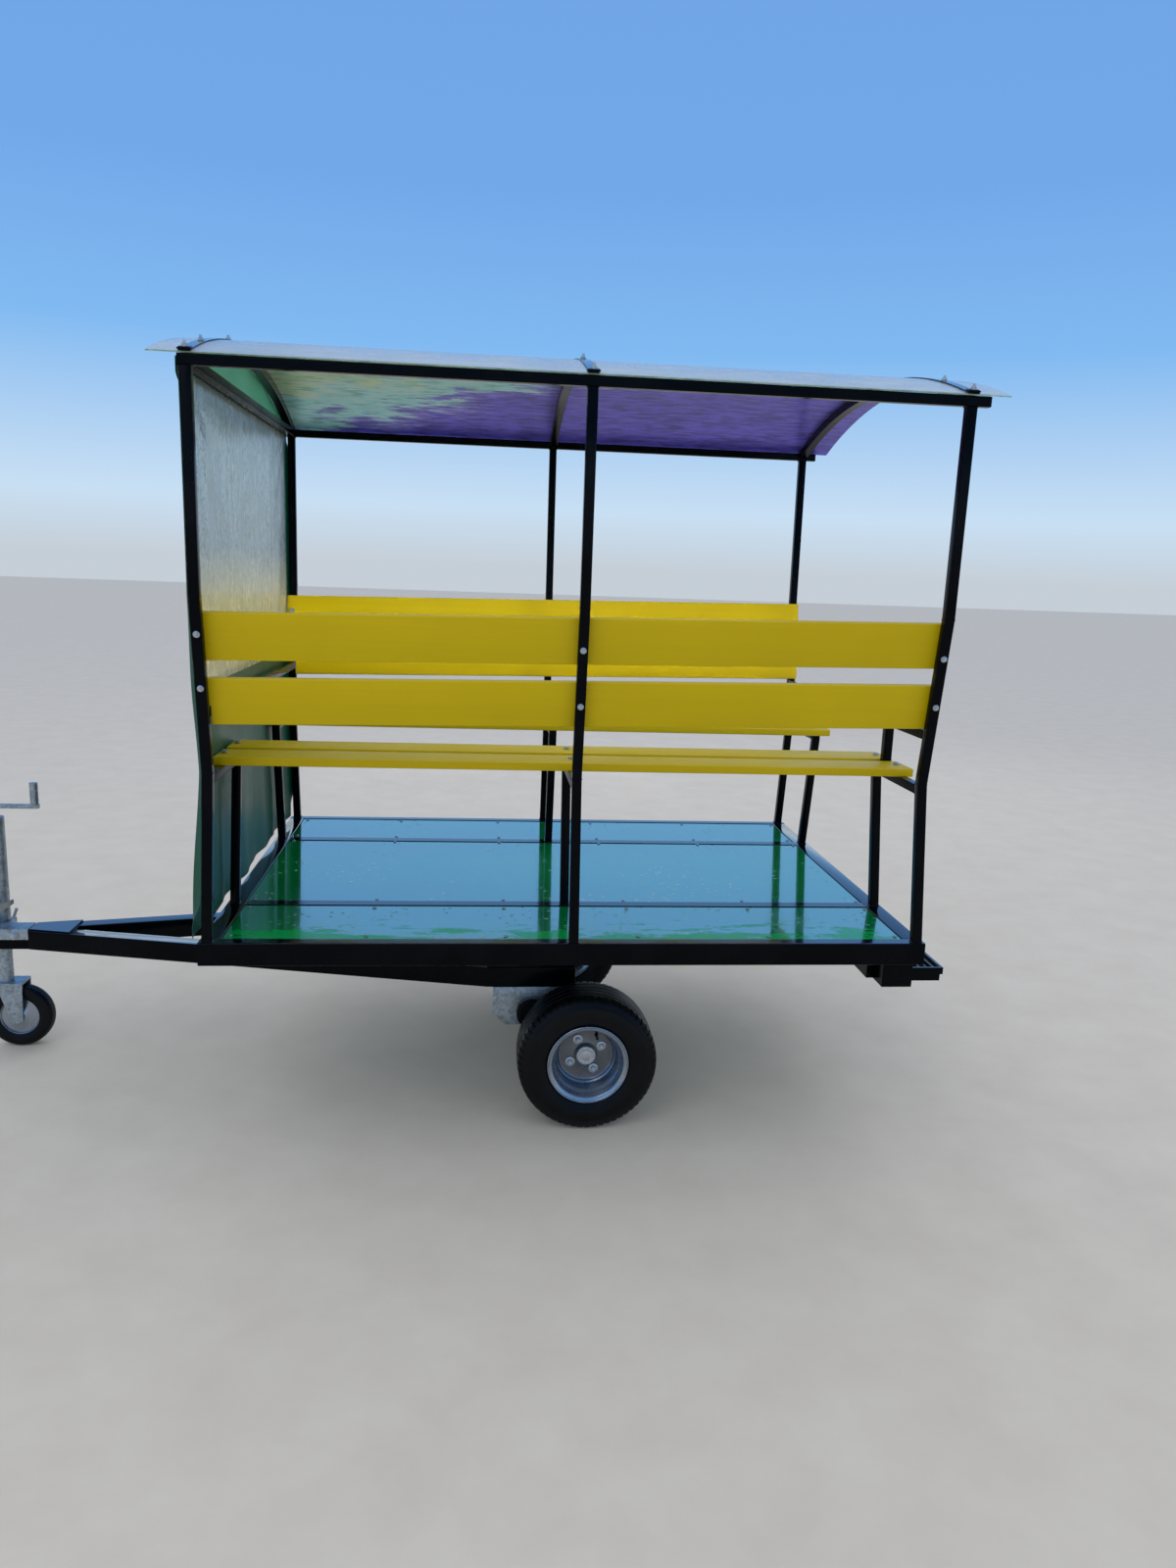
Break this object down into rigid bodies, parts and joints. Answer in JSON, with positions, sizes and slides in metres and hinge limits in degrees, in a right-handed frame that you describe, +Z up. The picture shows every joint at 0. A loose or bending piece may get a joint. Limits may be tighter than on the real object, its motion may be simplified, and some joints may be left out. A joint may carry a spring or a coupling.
{
  "type": "passenger trailer",
  "caption": "Open-sided passenger trailer with lengthwise bench seats, a barrel roof, an A-frame drawbar and a torsion axle.",
  "frame": {"origin": "middle of the overall length and width, on the ground under the tyres", "axes": "+X forward to the coupling, +Y to the trailer's left, +Z up"},
  "size_m": [2.866, 1.427, 2.1218],
  "materials": {
    "frame_black": "gloss black paint on steel tube",
    "bench_yellow": "yellow painted boards",
    "floor_green": "green floor board, wet and glossy",
    "tarp_green": "coated green tarpaulin",
    "window_clear": "clear flexible sheet",
    "roof_clear": "smoky clear plastic sheet",
    "galvanised": "hot-dip galvanised steel",
    "rim_silver": "silver painted steel",
    "tyre_rubber": "black tyre rubber",
    "grip_grey": "grey plastic grip"
  },
  "bodies": {
    "trailer": {"axle_beam": "galvanised", "axle_brackets": "galvanised", "back_planks_left": "bench_yellow", "back_planks_right": "bench_yellow", "bench_frames_left": "frame_black", "bench_frames_right": "frame_black", "bow_front": "frame_black", "bow_mid": "frame_black", "bow_rear": "frame_black", "coupling_body": "galvanised", "coupling_handle": "grip_grey", "drawbar_beam_left": "frame_black", "drawbar_beam_right": "frame_black", "drawbar_nose": "frame_black", "end_rail_front": "frame_black", "end_rail_rear": "frame_black", "floor_bearers": "frame_black", "floor_boards": "floor_green", "floor_strip_left": "frame_black", "floor_strip_right": "frame_black", "frame_risers": "frame_black", "front_bars": "frame_black", "front_tarp": "tarp_green", "front_window": "window_clear", "jockey_clamp": "galvanised", "jockey_tube": "galvanised", "post_front_left": "frame_black", "post_front_right": "frame_black", "post_mid_left": "frame_black", "post_mid_right": "frame_black", "post_rear_left": "frame_black", "post_rear_right": "frame_black", "rear_step": "frame_black", "roof_rail_left": "frame_black", "roof_rail_right": "frame_black", "roof_sheet": "roof_clear", "seat_slats_left": "bench_yellow", "seat_slats_right": "bench_yellow", "sheet_straps": "frame_black", "side_rail_left": "frame_black", "side_rail_right": "frame_black", "step_beam": "frame_black", "step_brackets": "frame_black", "swing_arm_left": "frame_black", "swing_arm_right": "frame_black"},
    "wheel_left": {"hub_left": "rim_silver", "rim_left": "rim_silver", "tyre_left": "tyre_rubber"},
    "wheel_right": {"hub_right": "rim_silver", "rim_right": "rim_silver", "tyre_right": "tyre_rubber"},
    "jockey_leg": {"jockey_stem": "galvanised"},
    "jockey_castor": {"jockey_fork": "galvanised"},
    "jockey_roller": {"jockey_wheel": "tyre_rubber"}
  },
  "joints": [
    {"name": "wheel_left_spin", "type": "hinge", "parent": "trailer", "child": "wheel_left", "pos_m": [-0.484, 0.464, 0.197], "axis": [0, 1, 0], "continuous": true},
    {"name": "wheel_right_spin", "type": "hinge", "parent": "trailer", "child": "wheel_right", "pos_m": [-0.484, -0.464, 0.197], "axis": [0, 1, 0], "continuous": true},
    {"name": "jockey_lift", "type": "slide", "parent": "trailer", "child": "jockey_leg", "axis": [0, 0, 1], "range_m": [-0.08, 0.13]},
    {"name": "jockey_swivel", "type": "hinge", "parent": "jockey_leg", "child": "jockey_castor", "pos_m": [1.306, -0.071, 0.21], "axis": [0, 0, 1], "continuous": true},
    {"name": "jockey_spin", "type": "hinge", "parent": "jockey_castor", "child": "jockey_roller", "pos_m": [1.268, -0.071, 0.1], "axis": [0, 1, 0], "continuous": true}
  ]
}
